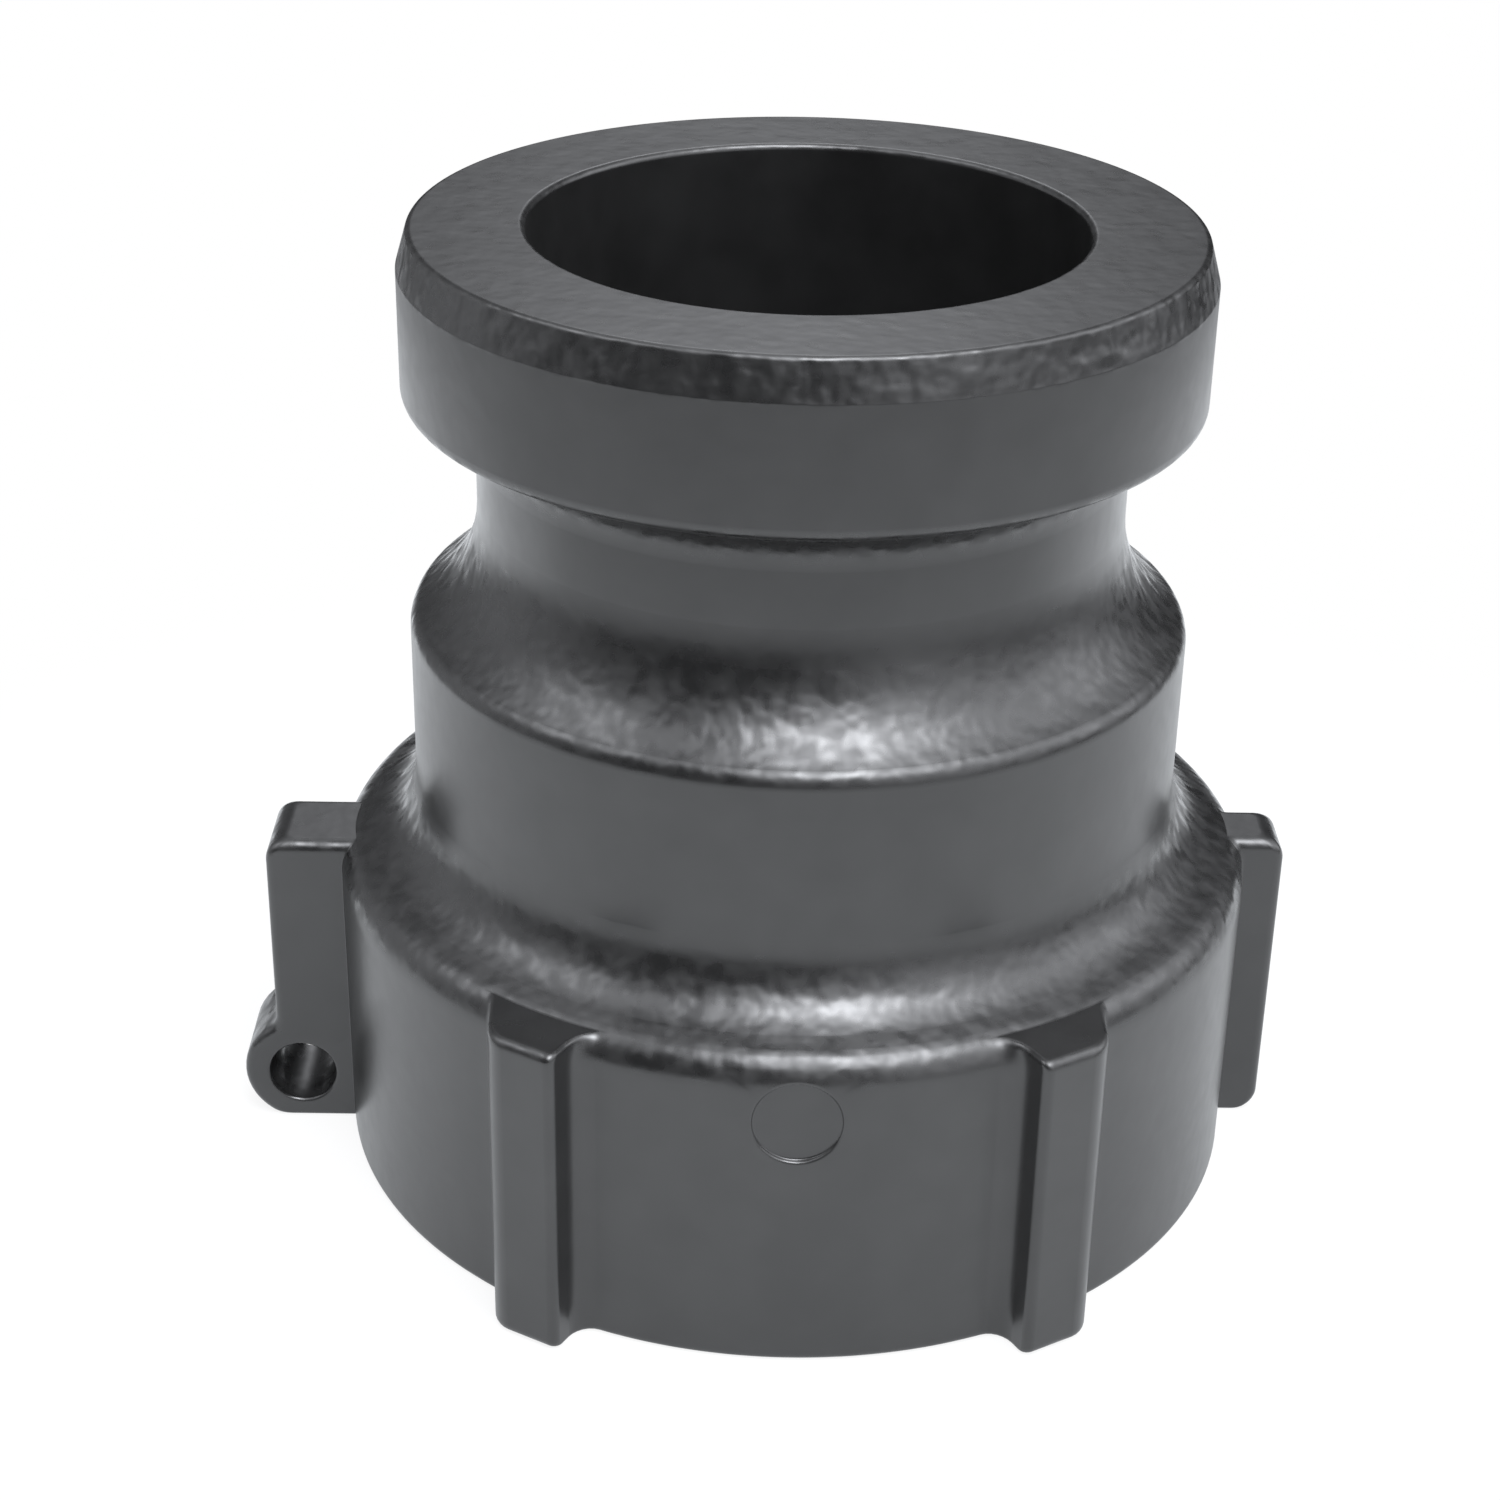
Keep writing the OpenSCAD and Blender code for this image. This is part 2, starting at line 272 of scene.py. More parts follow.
def half_outline(z, reach, level, half_width, root_r, top_edge_r, splay, counts):
    """Level outlines of one half of a lug, from the wall to the middle of its outer face.

    In order: wall arc from the sector's edge, hollow fillet, flat side, rounded corner, half of
    the outer face. x runs outwards and y sideways; the arrays have one row for each height. The
    side is the line y = offset - slope * x, whose slope is the tangent of the splay.
    """
    wall_n, fillet_n, side_n, corner_n, face_n = counts
    z = z[:, None]
    radius = collar_radius(z)
    width = half_width - edge_loss(z, (FOOT_EDGE_R, top_edge_r), 0, LUG_TOP)
    corner_r = SPLAYED_CORNER_R if splay else CORNER_R
    slope = math.tan(math.radians(splay))
    offset = width + slope * np.max(reach)
    lean = np.clip((radius - EDGE_MID_R) / EDGE_R, LEAST_LEAN, 1)
    stretch = np.where(z < FOOT_R, root_r + COLLAR_R - radius, root_r / lean)

    turn = arc_share(fillet_n)[None, :]
    clear = offset + root_r * (1 - np.sin(turn))
    fillet_x = line_meets_circle(clear, slope, radius) + stretch * (1 - np.cos(turn))
    fillet_y = clear - slope * fillet_x

    wall_end = np.arctan2(fillet_y[:, :1], fillet_x[:, :1])
    wall_angle = math.pi / 6 + (wall_end - math.pi / 6) * np.linspace(0, 1, wall_n + 1)[None, :-1]
    wall_x, wall_y = radius * np.cos(wall_angle), radius * np.sin(wall_angle)

    corner_x = np.minimum(corner_r / level, LONGEST_CORNER)[:, None]
    side_end = reach[:, None] - corner_x
    side_x = fillet_x[:, -1:] + (side_end - fillet_x[:, -1:]) * side_share(side_n)[None, 1:-1]
    side_y = offset - slope * side_x

    turn = arc_share(corner_n)[None, :]
    round_x = side_end + corner_x * np.sin(turn)
    round_y = offset - slope * round_x - corner_r * (1 - np.cos(turn))

    face_share = np.concatenate([[FACE_START], np.linspace(0, 1, face_n + 1)[1:]])[None, :]
    face_y = round_y[:, -1:] * (1 - face_share)
    face_x = reach[:, None] + 0 * face_y
    x = np.concatenate([wall_x, fillet_x, side_x, round_x, face_x], axis=1)
    y = np.concatenate([wall_y, fillet_y, side_y, round_y, face_y], axis=1)
    return x, y


# %% Outline of one sector
LUGS = {
    # angle: reach, half width clockwise, half width anticlockwise, root radius, nose radii,
    # radius of the sides' top edges, splay clockwise, splay anticlockwise
    0: (41.4, 2.85, 2.85, 0.35, (1.9, 1.9), 1.0, 0, 0),
    60: (41.4, 2.85, 2.85, 1.6, (0.8, 0.8), 0.45, 30, 0),
    120: (41.4, 2.85, 2.85, 1.6, (0.8, 0.8), 0.45, 0, 30),
    180: (None, 2.4, 5.6, 0.12, (0.2, 1.9), 1.0, 0, 0),
    240: (41.4, 2.85, 2.85, 1.6, (0.8, 0.8), 0.45, 30, 0),
    300: (41.4, 2.85, 2.85, 1.6, (0.8, 0.8), 0.45, 0, 30),
}
# A leaning side meets the wall almost along it, in a tighter fillet
SPLAYED_ROOT_R = 0.5
PLAIN_COUNTS = (13, 6, 3, 5, 2)
EYE_COUNTS = (13, 5, 13, 5, 4)
FINE_WALL = 22


def sector_counts(angle, side):
    """How many steps each part of a half outline has. The gap with the sunk disc is finer."""
    counts = EYE_COUNTS if angle == 180 else PLAIN_COUNTS
    beside_disc = (angle, side) in ((240, 1), (300, -1))
    return (FINE_WALL, *counts[1:]) if beside_disc else counts


def sector(angle, z):
    """Outlines of one 60 degree sector, anticlockwise, and how many columns lie on its wall arcs."""
    reach, clockwise, anticlockwise, root_r, nose, top_edge_r, splay_1, splay_2 = LUGS[angle]
    if reach is None:
        reach, level = eye_reach(z)
    else:
        reach, level = np.full_like(z, reach), np.ones_like(z)
    reach = reach - edge_loss(z, nose, 0, LUG_TOP)
    root_1, root_2 = (SPLAYED_ROOT_R if splay else root_r for splay in (splay_1, splay_2))
    counts_1, counts_2 = sector_counts(angle, -1), sector_counts(angle, 1)
    x1, y1 = half_outline(z, reach, level, clockwise, root_1, top_edge_r, splay_1, counts_1)
    x2, y2 = half_outline(z, reach, level, anticlockwise, root_2, top_edge_r, splay_2, counts_2)
    # The second half runs backwards and starts after the middle of the outer face, which both
    # share; its last point is the next sector's first one
    x = np.concatenate([x1, x2[:, -2:0:-1]], axis=1)
    y = np.concatenate([-y1, y2[:, -2:0:-1]], axis=1)
    turn = math.radians(angle)
    x, y = x * math.cos(turn) - y * math.sin(turn), x * math.sin(turn) + y * math.cos(turn)
    return x, y, (counts_1[0], counts_2[0])


parts = [sector(angle, rows_z) for angle in LUGS]
collar_x = np.concatenate([part[0] for part in parts], axis=1)
collar_y = np.concatenate([part[1] for part in parts], axis=1)
sector_size = [part[0].shape[1] for part in parts]
sector_start = np.cumsum([0] + sector_size)
columns = collar_x.shape[1]
print("Columns round the collar:", columns)

# %% [markdown]
# ## The whole skin
# Above the lugs and on every inner face the outlines are plain circles. Their columns carry on
# straight from those of the collar, so they stay crowded over each lug. The skin is closed both
# ways, like a torus: it runs up the outside, over the sealing face, down the waterway and back
# to where it began.

# %% Columns on the circles


def circle_angles(row):
    """Angles of all columns on a circle: wall columns keep theirs, and each lug's share its gap evenly."""
    angle = np.unwrap(np.arctan2(collar_y[row], collar_x[row]))
    for k, part in enumerate(parts):
        low = sector_start[k] + part[2][0]
        high = sector_start[k + 1] - part[2][1]
        angle[low : high + 1] = np.linspace(angle[low], angle[high], high - low + 1)
    return angle


top_angles, foot_angles = circle_angles(-1), circle_angles(0)


def circle(radius, height, angles):
    """One row: a level circle with its points at the given angles."""
    x, y = radius * np.cos(angles), radius * np.sin(angles)
    return np.stack([x, y, np.full(len(angles), height)], axis=1)


def between(first, last, shares):
    """Rows on the way from one row to another."""
    return [first + (last - first) * share for share in shares]


# %% Rows of the skin
lug_rows = list(np.stack([collar_x, collar_y, np.broadcast_to(rows_z[:, None], collar_x.shape)], axis=2))
top_circle = circle(collar_radius(np.array(LUG_TOP)), LUG_TOP, top_angles)
TOP_SHARES = [0.02, 0.25, 0.5, 0.75, 0.98, 1]
lug_tops = between(lug_rows[-1], top_circle, TOP_SHARES)

CLEARANCE = 0.02
above_lugs = section[:, 1] > LUG_TOP + CLEARANCE
clear_of_lugs = above_lugs & (section[:, 0] < collar_radius(np.array(LUG_TOP)))
upper = section[int(np.argmax(clear_of_lugs)) :]
inward = np.clip(np.linspace(-1, 1, len(upper)), 0, 1)
upper_rows = [circle(r, z, top_angles + (foot_angles - top_angles) * s) for (r, z), s in zip(upper, inward)]

# The section starts with the arc at the socket's mouth, and its straight run then crosses the end
# face. The rows stay round as far as this radius, and then spread out to the lugs
END_FACE_R = 36.5
END_SHARES = [0.25, 0.5, 0.75, 0.97]
end_face = section[: int(np.argmax(section[:, 0] > END_FACE_R))]
end_rows = [circle(r, z, foot_angles) for r, z in end_face]
foot_circle = circle(END_FACE_R, 0.0, foot_angles)
foot_rows = [foot_circle] + between(foot_circle, lug_rows[0], END_SHARES)

skin = np.array(end_rows + foot_rows + lug_rows + lug_tops + upper_rows)
row_of_collar = len(end_rows) + len(foot_rows)
print("Skin:", skin.shape[0], "rows by", skin.shape[1], "columns")

# %% [markdown]
# ## Windows in the skin
# Two features break the net: the hole of the lanyard eye, and the small plain disc that is sunk
# into the collar at the front. At each of them a block of quads is left out, and the block's edge
# is joined to a circle by a fan of rings. The hole's rings run through the eye from the front
# window to the back one.

# %% Loops and rings


def window_loop(first_row, last_row, first_column, last_column):
    """Grid places round a window's edge, anticlockwise from outside: [row, column] pairs."""
    rows = np.arange(first_row, last_row + 1)
    cols = np.arange(first_column, last_column + 1)
    bottom = np.stack([np.full(len(cols), first_row), cols], axis=1)
    right = np.stack([rows, np.full(len(rows), last_column)], axis=1)
    top = np.stack([np.full(len(cols), last_row), cols[::-1]], axis=1)
    left = np.stack([rows[::-1], np.full(len(rows), first_column)], axis=1)
    return np.concatenate([bottom[:-1], right[:-1], top[:-1], left[:-1]])


def row_at(z):
    """Skin row of the collar's outline at height z."""
    return row_of_collar + int(np.argmin(np.abs(rows_z - z)))


# %% Sunk disc
DISC_Z, DISC_R, DISC_FLOOR = 22.0, 3.4, 37.5
# The window that is left out for it: lowest and highest row, and columns to each side
DISC_LOW, DISC_HIGH, DISC_COLUMNS = 17.6, 26.3, 8
disc_column = int(sector_start[list(LUGS).index(300)])
disc_window = (row_at(DISC_LOW), row_at(DISC_HIGH), disc_column - DISC_COLUMNS, disc_column + DISC_COLUMNS)
disc_loop = window_loop(*disc_window)
# Distance from the disc's middle, and how far up from its floor to the collar's surface
DISC_RIM = [(3.75, 1), (3.64, 0.985), (3.55, 0.93), (3.48, 0.82), (3.43, 0.66), (3.4, 0.45)]
DISC_INSIDE = [(3.38, 0.25), (3.33, 0.1), (3.24, 0.02), (3.1, 0), (1.6, 0), (0, 0)]
DISC_RINGS = np.array(DISC_RIM + DISC_INSIDE)


def disc_points(sideways, height, rise):
    """Points of the disc: rise 0 lies on its floor, rise 1 on the collar: root(R^2 - sideways^2)."""
    surface = np.sqrt(collar_radius(height) ** 2 - sideways**2)
    return np.stack([sideways, -(DISC_FLOOR + (surface - DISC_FLOOR) * rise), height], axis=-1)


edge = skin[disc_loop[:, 0], disc_loop[:, 1]]
heading = unit(np.stack([edge[:, 0], edge[:, 2] - DISC_Z], axis=1))
spread = DISC_RINGS[:, :1]
ring_side, ring_high = spread * heading[:, 0], DISC_Z + spread * heading[:, 1]
halfway = disc_points((edge[:, 0] + ring_side[0]) / 2, (edge[:, 2] + ring_high[0]) / 2, 1.0)
disc_rings = np.concatenate([[edge, halfway], disc_points(ring_side, ring_high, DISC_RINGS[:, 1:])])

# %% Hole of the lanyard eye
EYE_X, EYE_Z, EYE_MOUTH_R = -RING_OUT, RING_Z, 0.35
# The hole's pin leaves a taper, wide end forward
EYE_HOLE_R, EYE_BACK_R = 2.8, 2.35
EYE_FRONT, EYE_BACK = -5.6, 2.4
eye_sector = list(LUGS).index(180)
wall_n, fillet_n, side_n = EYE_COUNTS[:3]
side_first = wall_n + fillet_n
side_last = side_first + len(side_share(side_n)) - 1
EYE_LOW, EYE_HIGH = 0.6, 8.1
eye_rows = (row_at(EYE_LOW), row_at(EYE_HIGH))
back_window = (*eye_rows, sector_start[eye_sector] + side_first, sector_start[eye_sector] + side_last)
next_start = sector_start[eye_sector + 1]
front_window = (*eye_rows, next_start - side_last, next_start - side_first)
front_loop, back_loop = window_loop(*front_window), window_loop(*back_window)
# Seen from the front, the back window's edge is walked the other way round, from its far corner
back_loop = back_loop[(side_last - side_first - np.arange(len(back_loop))) % len(back_loop)]
front_edge = skin[front_loop[:, 0], front_loop[:, 1]]
back_edge = skin[back_loop[:, 0], back_loop[:, 1]]
middle = (front_edge + back_edge) / 2
heading = unit(np.stack([middle[:, 0] - EYE_X, middle[:, 2] - EYE_Z], axis=1))
MOUTH_STEPS, TUBE_STEPS = 5, 8
mouth = arc_share(MOUTH_STEPS)
mouth_out = EYE_MOUTH_R * (1 - np.sin(mouth))
mouth_in = EYE_MOUTH_R * (1 - np.cos(mouth))
tube_depth = np.linspace(EYE_FRONT + EYE_MOUTH_R, EYE_BACK - EYE_MOUTH_R, TUBE_STEPS)[1:-1]
tube_r = np.interp(tube_depth, [EYE_FRONT, EYE_BACK], [EYE_HOLE_R, EYE_BACK_R])
ring_r = np.concatenate([EYE_HOLE_R + mouth_out, tube_r, EYE_BACK_R + mouth_out[::-1]])
ring_y = np.concatenate([EYE_FRONT + mouth_in, tube_depth, EYE_BACK - mouth_in[::-1]])
hole_rings = np.stack(
    [
        EYE_X + ring_r[:, None] * heading[:, 0],
        np.broadcast_to(ring_y[:, None], (len(ring_y), len(heading))),
        EYE_Z + ring_r[:, None] * heading[:, 1],
    ],
    axis=2,
)
hole_rings = np.concatenate([[front_edge], hole_rings, [back_edge]])
print("Rings:", disc_rings.shape, hole_rings.shape)

# %% [markdown]
# ## From grids to one mesh
# Every grid turns into quads in the same way: each point is joined to its neighbours along the
# row and in the next row. Points that fall on one another, such as the rows that wait at the
# wall while a lug's top is filled in, are then merged, which closes the skin without a seam.

# %% Mesh helpers
MERGE = 0.001
SHARP_ANGLE = math.radians(40)


def quads(rows, cols, start, close_rows):
    """Quads of a grid of points whose rows are closed loops; close_rows joins the last row to the first."""
    last = rows if close_rows else rows - 1
    r, c = np.meshgrid(np.arange(last), np.arange(cols), indexing="ij")
    ahead, row, above = (c + 1) % cols, r * cols, (r + 1) % rows * cols
    return start + np.stack([row + c, row + ahead, above + ahead, above + c], axis=2)


def new_piece(name, points, faces):
    """A mesh object from points in millimetres, with doubles merged and smooth shading."""
    mesh = bpy.data.meshes.new(name)
    mesh.from_pydata((points * MM).tolist(), [], faces.tolist())
    work = bmesh.new()
    work.from_mesh(mesh)
    bmesh.ops.remove_doubles(work, verts=work.verts, dist=MERGE * MM)
    open_edges = sum(not e.is_manifold for e in work.edges)
    volume = work.calc_volume(signed=True) / MM**3
    work.to_mesh(mesh)
    work.free()
    mesh.shade_smooth()
    piece = bpy.data.objects.new(name, mesh)
    bpy.context.scene.collection.objects.link(piece)
    triangles = sum(len(p.vertices) - 2 for p in mesh.polygons)
    print(name, ":", len(mesh.vertices), "points,", triangles, "triangles,", open_edges, "open edges")
    print("    volume", round(volume), "mm3")
    return piece


# %% Body
skin_quads = quads(skin.shape[0], columns, 0, True)
kept = np.ones(skin_quads.shape[:2], bool)
for first_row, last_row, first_column, last_column in (disc_window, back_window, front_window):
    kept[first_row:last_row, first_column:last_column] = False
points, faces = [skin.reshape(-1, 3)], [skin_quads[kept]]
for rings in (disc_rings, hole_rings):
    start = sum(len(p) for p in points)
    faces.append(quads(*rings.shape[:2], start, False).reshape(-1, 4))
    points.append(rings.reshape(-1, 3))
body = new_piece("moulded_body", np.concatenate(points), np.concatenate(faces))
body.data.set_sharp_from_angle(angle=SHARP_ANGLE)
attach(body, "root")
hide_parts("adapter_body")

# %% [markdown]
# ## Pipe thread
# The socket takes a tapered two inch pipe: 11.5 threads to the inch, a 60 degree form 1.767 mm
# high, and a radius that shrinks by 1 mm in 32. The thread is a sleeve whose inner face climbs
# by one pitch a turn. Its outer face lies hidden inside the socket's wall, and it rises out of
# the wall and sinks back into it at both ends, as a moulded thread does.

# %% Thread
PITCH = 25.4 / 11.5
THREAD_LOW, THREAD_HIGH = 0.9, 22.0
THREAD_R, THREAD_HEIGHT, TAPER = 30.05, 1.767, 1 / 32
HIDDEN_R, SLEEVE_R = 30.0, 30.5
STEPS_A_TURN = 120
# Shares of one pitch and how far the form has risen there, from root to crest and back
CLIMB = [(0, 0), (0.04, 0), (0.07, 0.05), (0.43, 0.95), (0.46, 1)]
FORM = np.array(CLIMB + [(1 - share, rise) for share, rise in reversed(CLIMB)])


def thread_points():
    """The sleeve's inner face: height = pitch * (turn + share), radius = root radius - rise * height.

    Rows run along the helix. What would lie past either end is held on the end's circle.
    """
    turns = math.ceil((THREAD_HIGH - THREAD_LOW) / PITCH) + 2
    turn = np.arange(-STEPS_A_TURN, turns * STEPS_A_TURN + 1) / STEPS_A_TURN
    height = THREAD_LOW + PITCH * (turn[:, None] + FORM[None, :, 0])
    fade = np.clip((height - THREAD_LOW) / PITCH, 0, 1)
    fade = fade * np.clip((THREAD_HIGH - height) / (1.5 * PITCH), 0, 1)
    fade = fade * fade * (3 - 2 * fade)
    full = THREAD_R - TAPER * height - THREAD_HEIGHT * FORM[None, :, 1]
    radius = HIDDEN_R + (np.minimum(full, HIDDEN_R) - HIDDEN_R) * fade
    angle = 2 * math.pi * turn[:, None]
    height = np.clip(height, THREAD_LOW, THREAD_HIGH)
    return np.stack([radius * np.cos(angle), radius * np.sin(angle), height], axis=2)


strip = thread_points()
count = strip.shape[0]
r, c = np.meshgrid(np.arange(count - 1), np.arange(len(FORM) - 1), indexing="ij")
corner = r * len(FORM) + c
above = corner + len(FORM)
strip_faces = np.stack([corner, corner + 1, above + 1, above], axis=2).reshape(-1, 4)
ends = np.arange(STEPS_A_TURN) * 2 * math.pi / STEPS_A_TURN
shell_rows = [(HIDDEN_R, THREAD_HIGH), (SLEEVE_R, THREAD_HIGH)]
shell_rows += [(SLEEVE_R, THREAD_LOW), (HIDDEN_R, THREAD_LOW)]
shell = np.array([circle(r, z, ends) for r, z in shell_rows])
shell_faces = quads(len(shell_rows), STEPS_A_TURN, strip.size // 3, False).reshape(-1, 4)[:, ::-1]
sleeve_points = np.concatenate([strip.reshape(-1, 3), shell.reshape(-1, 3)])
thread = new_piece("pipe_thread", sleeve_points, np.concatenate([strip_faces, shell_faces]))
thread.data.set_sharp_from_angle(angle=SHARP_ANGLE)
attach(thread, "root")

# %% [markdown]
# ## Plastic
# The body is glass-filled polypropylene, injection moulded in black. The glass makes it a little
# greyer than pure black and keeps its gloss soft, with a roughness of about 0.3. The skin
# shrinks unevenly over the fibres as it cools, which leaves shallow orange peel one or two
# millimetres across. Where the fibres lie close under it, the skin is duller. Both are fainter on
# the upright walls, which slid along polished steel as the part left its mould, and on the level
# faces, which a flat plate pressed. So they show where a highlight on a slope breaks up. The
# melt's flow leaves the grey itself a little uneven.

# %% Sizes of the finish
MATH, RANGE = "ShaderNodeMath", "ShaderNodeMapRange"
SMOOTH = {"interpolation_type": "SMOOTHSTEP"}
# In mm: the orange peel and its height, the patches of fibres, the marks of the melt's flow
PEEL_SIZE, PEEL_HEIGHT, FIBRE_SIZE, FLOW_SIZE = 1.7, 0.42, 1.6, 4.5
PEEL_STRENGTH, TRIM_STRENGTH = 0.27, 0.75
ROUGHNESS, FIBRE_SWING = 0.3, 0.11
DARKEST, PALEST = "#191919", "#212121"
# The middle range of a noise, where nearly all of its values lie: of the fibres and of the flow
NOISE_LOW, NOISE_HIGH = 0.32, 0.68
FLOW_LOW, FLOW_HIGH = 0.3, 0.7
# How level the surface's normal is where the relief is fully there, and its share on the walls
WALL_SLOPE, FULL_SLOPE, WALL_SHARE = 0.1, 0.45, 0.12
# How level it is where the relief starts to fall again, and its share on a level face
LEVEL_SLOPE, LEVEL_SHARE = 0.9, 0.25
# The inside was made by a polished core, so the relief is faint where radius + slope * height is
# below a limit: that line runs inside the wall from the socket's mouth up to the neck
CORE_R, CORE_SLOPE, CORE_SHARE, CORE_SOFT = 35.1, 0.196, 0.15, 0.3
# The lead-in taper round the sealing face was trimmed of flash, which left it rougher
TRIM_LOW, TRIM_HIGH, TRIM_SOFT, TRIM_INNER_R = 75.9, 78.95, 0.35, 28.0

# %% Patterns and places on the surface
plastic = bpy.data.materials.new("glass_filled_polypropylene")
plastic.use_nodes = True
tree = plastic.node_tree
tree.nodes.clear()
where = add_node(tree, "ShaderNodeTexCoord").outputs["Object"]
peel, fibres, flow = (
    add_node(
        tree,
        "ShaderNodeTexNoise",
        {"Vector": where, "Scale": 1 / (size * MM), "Detail": detail},
        normalize=True,
    ).outputs[0]
    for size, detail in ((PEEL_SIZE, 1.0), (FIBRE_SIZE, 1.0), (FLOW_SIZE, 3.0))
)
height = add_node(tree, "ShaderNodeSeparateXYZ", {0: where}).outputs[2]
flat = add_node(tree, "ShaderNodeVectorMath", {0: where, 1: (1, 1, 0)}, operation="MULTIPLY").outputs[0]
radius = add_node(tree, "ShaderNodeVectorMath", {0: flat}, operation="LENGTH").outputs["Value"]
depth = add_node(tree, MATH, {0: height, 1: CORE_SLOPE, 2: radius}, operation="MULTIPLY_ADD").outputs[0]
normal = add_node(tree, "ShaderNodeNewGeometry").outputs["True Normal"]
upward = add_node(tree, "ShaderNodeSeparateXYZ", {0: normal}).outputs[2]
upward = add_node(tree, MATH, {0: upward}, operation="ABSOLUTE").outputs[0]


def change(value, start, end, low=0.0, high=1.0):
    """What a range node needs to go from low to high while the value goes from start to end."""
    return {"Value": value, "From Min": start, "From Max": end, "To Min": low, "To Max": high}


# %% Where the relief shows
above, below, outside, sloping, tilted, out_of_core = (
    add_node(tree, RANGE, change(*limits), **SMOOTH).outputs[0]
    for limits in (
        (height, (TRIM_LOW - TRIM_SOFT) * MM, (TRIM_LOW + TRIM_SOFT) * MM),
        (height, TRIM_HIGH * MM, (TRIM_HIGH - TRIM_SOFT) * MM),
        (radius, TRIM_INNER_R * MM, (TRIM_INNER_R + 1) * MM),
        (upward, WALL_SLOPE, FULL_SLOPE, WALL_SHARE),
        (upward, LEVEL_SLOPE, 1.0, 1.0, LEVEL_SHARE),
        (depth, CORE_R * MM, (CORE_R + CORE_SOFT) * MM, CORE_SHARE),
    )
)
trimmed = add_node(tree, MATH, {0: above, 1: below}, operation="MULTIPLY").outputs[0]
trimmed = add_node(tree, MATH, {0: trimmed, 1: outside}, operation="MULTIPLY").outputs[0]
relief = add_node(tree, MATH, {0: sloping, 1: tilted}, operation="MULTIPLY").outputs[0]
relief = add_node(tree, MATH, {0: relief, 1: out_of_core}, operation="MULTIPLY").outputs[0]
peel_share = add_node(tree, MATH, {0: relief, 1: PEEL_STRENGTH}, operation="MULTIPLY").outputs[0]
rough = add_node(tree, RANGE, {"Value": trimmed, "To Min": peel_share, "To Max": TRIM_STRENGTH}).outputs[0]
swing = add_node(tree, RANGE, change(fibres, NOISE_LOW, NOISE_HIGH, -FIBRE_SWING, FIBRE_SWING)).outputs[0]
swing = add_node(tree, MATH, {0: swing, 1: relief}, operation="MULTIPLY").outputs[0]
dullness = add_node(tree, MATH, {0: swing, 1: ROUGHNESS}, operation="ADD").outputs[0]

# %% Moulded polypropylene
unevenness = add_node(tree, RANGE, change(flow, FLOW_LOW, FLOW_HIGH)).outputs[0]
greys = {0: unevenness, 6: linear(DARKEST), 7: linear(PALEST)}
grey = add_node(tree, "ShaderNodeMix", greys, data_type="RGBA").outputs[2]
bumps = {"Strength": rough, "Height": peel, "Distance": PEEL_HEIGHT * MM}
bsdf = add_node(
    tree,
    "ShaderNodeBsdfPrincipled",
    {
        "Base Color": grey,
        "Roughness": dullness,
        "IOR": 1.5,
        "Specular IOR Level": 0.9,
        "Normal": add_node(tree, "ShaderNodeBump", bumps).outputs[0],
    },
)
add_node(tree, "ShaderNodeOutputMaterial", {"Surface": bsdf.outputs[0]})
for piece in (body, thread):
    piece.data.materials.append(plastic)
print("Plastic:", len(tree.nodes), "nodes")

# %% [markdown]
# ## Camera
# The camera stands where the photograph was taken from: a hand's breadth above the adapter, and
# looking down on it by 27 degrees with a long lens. Its matrix is made of three unit vectors, to
# the right, up and back, and its place.

# %% Camera
CAMERA_PLACE = (-5.6 * MM, -213.66 * MM, 143.96 * MM)
HEADING, PITCH_DOWN, ROLL = math.radians(0.511), math.radians(27.34), math.radians(1.087)
SENSOR = 36.0
PHOTO_WIDTH, FOCAL_PIXELS = 1500, 2876.34

level = math.cos(PITCH_DOWN)
forward = np.array([math.sin(HEADING) * level, math.cos(HEADING) * level, -math.sin(PITCH_DOWN)])
level_right = np.array([math.cos(HEADING), -math.sin(HEADING), 0.0])
level_up = np.cross(level_right, forward)
right = math.cos(ROLL) * level_right + math.sin(ROLL) * level_up
up = math.cos(ROLL) * level_up - math.sin(ROLL) * level_right
camera_data = bpy.data.cameras.new("photo_camera")
camera_data.sensor_width = SENSOR
camera_data.sensor_fit = "HORIZONTAL"
camera_data.lens = SENSOR * FOCAL_PIXELS / PHOTO_WIDTH
camera_data.clip_start = 0.01
camera = bpy.data.objects.new("photo_camera", camera_data)
bpy.context.scene.collection.objects.link(camera)
pose = np.eye(4)
pose[:3, 0], pose[:3, 1], pose[:3, 2], pose[:3, 3] = right, up, -forward, CAMERA_PLACE
camera.matrix_world = Matrix(pose.tolist())
bpy.context.scene.camera = camera
bpy.context.scene.view_settings.view_transform = "Standard"
print("Lens:", round(camera_data.lens, 2), "mm")

# %% [markdown]
# ## Studio light
# The light is a white room. A long soft box hangs above the front, a little to the right, and is
# made of the first four glows. Paler walls stand at both sides, and a small window behind draws
# the sheen across the sealing face. Each is a round glow in the world that fades smoothly with
# the angle from its middle. The camera itself sees plain white.

# %% World


def direction(azimuth, elevation):
    """Unit vector at an azimuth from the front towards the right, and an elevation, in degrees."""
    a, e = math.radians(azimuth), math.radians(elevation)
    return (math.sin(a) * math.cos(e), -math.cos(a) * math.cos(e), math.sin(e))


world = bpy.data.worlds.new("studio")
bpy.context.scene.world = world
world.use_nodes = True
sky = world.node_tree
sky.nodes.clear()
ray = add_node(sky, "ShaderNodeTexCoord").outputs["Generated"]
ray = add_node(sky, "ShaderNodeVectorMath", {0: ray}, operation="NORMALIZE").outputs[0]


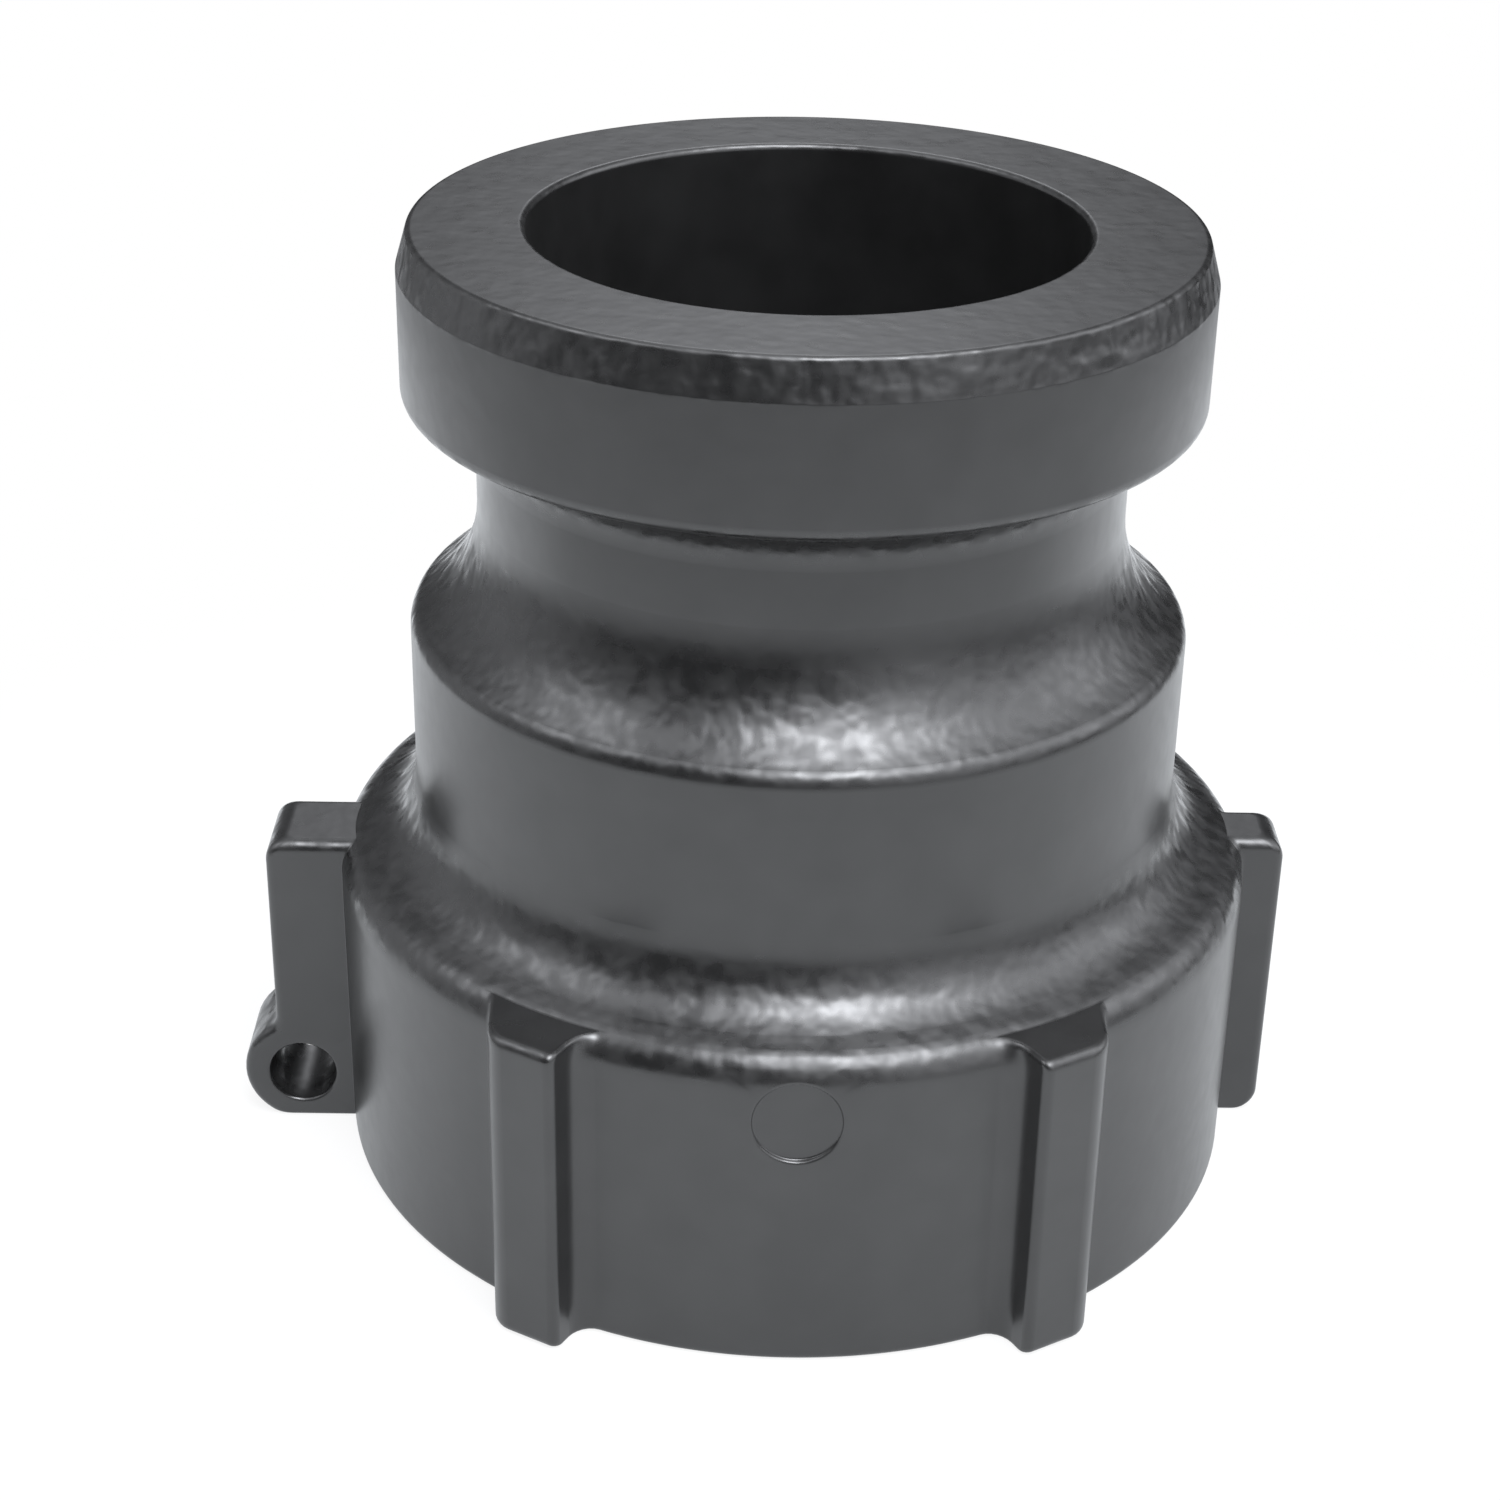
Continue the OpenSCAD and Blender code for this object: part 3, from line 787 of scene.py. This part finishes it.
def glow(azimuth, elevation, spread, strength):
    """strength * exp((cosine of the angle to the glow's middle - 1) / spread squared)"""
    middle = direction(azimuth, elevation)
    cosine = add_node(sky, "ShaderNodeVectorMath", {0: ray, 1: middle}, operation="DOT_PRODUCT")
    below = add_node(sky, MATH, {0: cosine.outputs["Value"], 1: 1.0}, operation="SUBTRACT")
    scale = 1 / math.radians(spread) ** 2
    scaled = add_node(sky, MATH, {0: below.outputs[0], 1: scale}, operation="MULTIPLY")
    falloff = add_node(sky, MATH, {0: scaled.outputs[0]}, operation="EXPONENT")
    return add_node(sky, MATH, {0: falloff.outputs[0], 1: strength}, operation="MULTIPLY").outputs[0]


GLOWS = [
    # azimuth, elevation, spread, strength
    (30, 69, 12, 4.5),
    (16, 66, 12, 2.5),
    (10, 58, 10, 6.5),
    (30, 57, 12, 2.6),
    (65, 50, 16, 1.5),
    (40, 20, 20, 1.3),
    (98, 30, 16, 2.0),
    (102, 18, 13, 0.8),
    (-86, 50, 12, 3.6),
    (-105, 8, 24, 0.72),
    (179, 24, 4, 1.0),
    (179, 34, 6, 2.9),
    (180, 62, 14, 1.5),
]
BASE_LIGHT, LIGHT_TINT = 0.03, "#f8faff"
WHITE = (1, 1, 1, 1)
total = BASE_LIGHT
for place in GLOWS:
    total = add_node(sky, MATH, {0: glow(*place), 1: total}, operation="ADD").outputs[0]
seen = add_node(sky, "ShaderNodeLightPath").outputs["Is Camera Ray"]
strength = add_node(sky, "ShaderNodeMix", {0: seen, 2: total, 3: 1.0}, data_type="FLOAT").outputs[0]
tints = {0: seen, 6: linear(LIGHT_TINT), 7: WHITE}
tint = add_node(sky, "ShaderNodeMix", tints, data_type="RGBA").outputs[2]
background = add_node(sky, "ShaderNodeBackground", {"Color": tint, "Strength": strength})
add_node(sky, "ShaderNodeOutputWorld", {"Surface": background.outputs[0]})

# %% [markdown]
# ## Floor
# The adapter stands on white paper. The paper keeps the soft shadow close to the adapter and
# fades to the plain white of the background further out. The walls of the adapter mirror the
# paper, but what they see of it is a glow with painted shade and painted light: two curves over
# the distance make it darker at the front, where the adapter shades it, and brighter behind.

# %% Floor
FLOOR_R, FLOOR_Z, FLOOR_SIDES = 450.0, -0.02, 96
SHADOW_NEAR, SHADOW_FAR, NEAR_SHARE = 50.0, 120.0, 0.85
GLOSSY_SHARE = 0.8
# Distance from the middle in mm, and the painted shade and light that the gloss sees on the paper there, at
# the front and behind
PAINTED_PAPER_LEVELS = [
    (0, 0.5, 0.5),
    (44, 0.93, 1.24),
    (57, 1.12, 1.1),
    (77, 1.22, 1.06),
    (110, 1.17, 1.16),
    (140, 1.09, 1.46),
    (170, 0.93, 1.74),
    (250, 0.85, 0.3),
    (450, 0.0, 0.0),
]
# The two curves blend over this distance before and behind the middle
BLEND_Y = 25.0
COOL_WHITE, PAPER_WHITE = linear("#f6fafe"), linear("#eeeeee")
ring = circle(FLOOR_R, FLOOR_Z, np.linspace(0, 2 * np.pi, FLOOR_SIDES + 1)[:-1])
floor_mesh = bpy.data.meshes.new("floor")
floor_mesh.from_pydata((ring * MM).tolist(), [], [list(range(FLOOR_SIDES))])
floor = bpy.data.objects.new("floor", floor_mesh)
bpy.context.scene.collection.objects.link(floor)
# The paper's material paints shade and light into the glow that reflections see
paper = bpy.data.materials.new("white_paper_painted_shade")
paper.use_nodes = True
tree = paper.node_tree
tree.nodes.clear()
path = add_node(tree, "ShaderNodeLightPath")
matt = add_node(tree, "ShaderNodeBsdfDiffuse", {"Color": PAPER_WHITE})
place = add_node(tree, "ShaderNodeTexCoord").outputs["Object"]
distance = add_node(tree, "ShaderNodeVectorMath", {0: place}, operation="LENGTH").outputs["Value"]
outward = {0: distance, 1: 1 / (FLOOR_R * MM)}
share_out = add_node(tree, MATH, outward, operation="MULTIPLY").outputs[0]


def painted_paper_curve(levels):
    """A colour ramp of painted shade and light: cool white times the paper's painted level at each distance
    of PAINTED_PAPER_LEVELS.
    """
    node = add_node(tree, "ShaderNodeValToRGB", {0: share_out})
    ramp = node.color_ramp
    while len(ramp.elements) < len(levels):
        ramp.elements.new(1.0)
    for stop, row, level in zip(ramp.elements, PAINTED_PAPER_LEVELS, levels):
        stop.position, stop.color = row[0] / FLOOR_R, (*(level * c for c in COOL_WHITE[:3]), 1)
    return node.outputs[0]


# Painted shade and painted light on the paper: one curve for the front and one for behind
ahead, behind = (painted_paper_curve([row[i] for row in PAINTED_PAPER_LEVELS]) for i in (1, 2))
depth = add_node(tree, "ShaderNodeSeparateXYZ", {0: place}).outputs[1]
back_share = add_node(tree, RANGE, change(depth, -BLEND_Y * MM, BLEND_Y * MM), **SMOOTH).outputs[0]
curves = {0: back_share, 6: ahead, 7: behind}
painted_paper_shade_and_light = add_node(tree, "ShaderNodeMix", curves, data_type="RGBA").outputs[2]
# Reflections see the paper's painted shade and light, and the camera sees plain white
shown = {0: path.outputs["Is Camera Ray"], 6: painted_paper_shade_and_light, 7: WHITE}
shown = add_node(tree, "ShaderNodeMix", shown, data_type="RGBA").outputs[2]
bright = add_node(tree, "ShaderNodeEmission", {"Color": shown, "Strength": 1.0}).outputs[0]
plain = change(distance, SHADOW_NEAR * MM, SHADOW_FAR * MM, NEAR_SHARE)
plain = add_node(tree, RANGE, plain, **SMOOTH).outputs[0]
to_camera, to_gloss = (
    add_node(tree, MATH, {0: share, 1: path.outputs[kind]}, operation="MULTIPLY").outputs[0]
    for share, kind in ((plain, "Is Camera Ray"), (GLOSSY_SHARE, "Is Glossy Ray"))
)
share = add_node(tree, MATH, {0: to_camera, 1: to_gloss}, operation="MAXIMUM").outputs[0]
mixed = add_node(tree, "ShaderNodeMixShader", {0: share, 1: matt.outputs[0], 2: bright})
add_node(tree, "ShaderNodeOutputMaterial", {"Surface": mixed.outputs[0]})
floor_mesh.materials.append(paper)
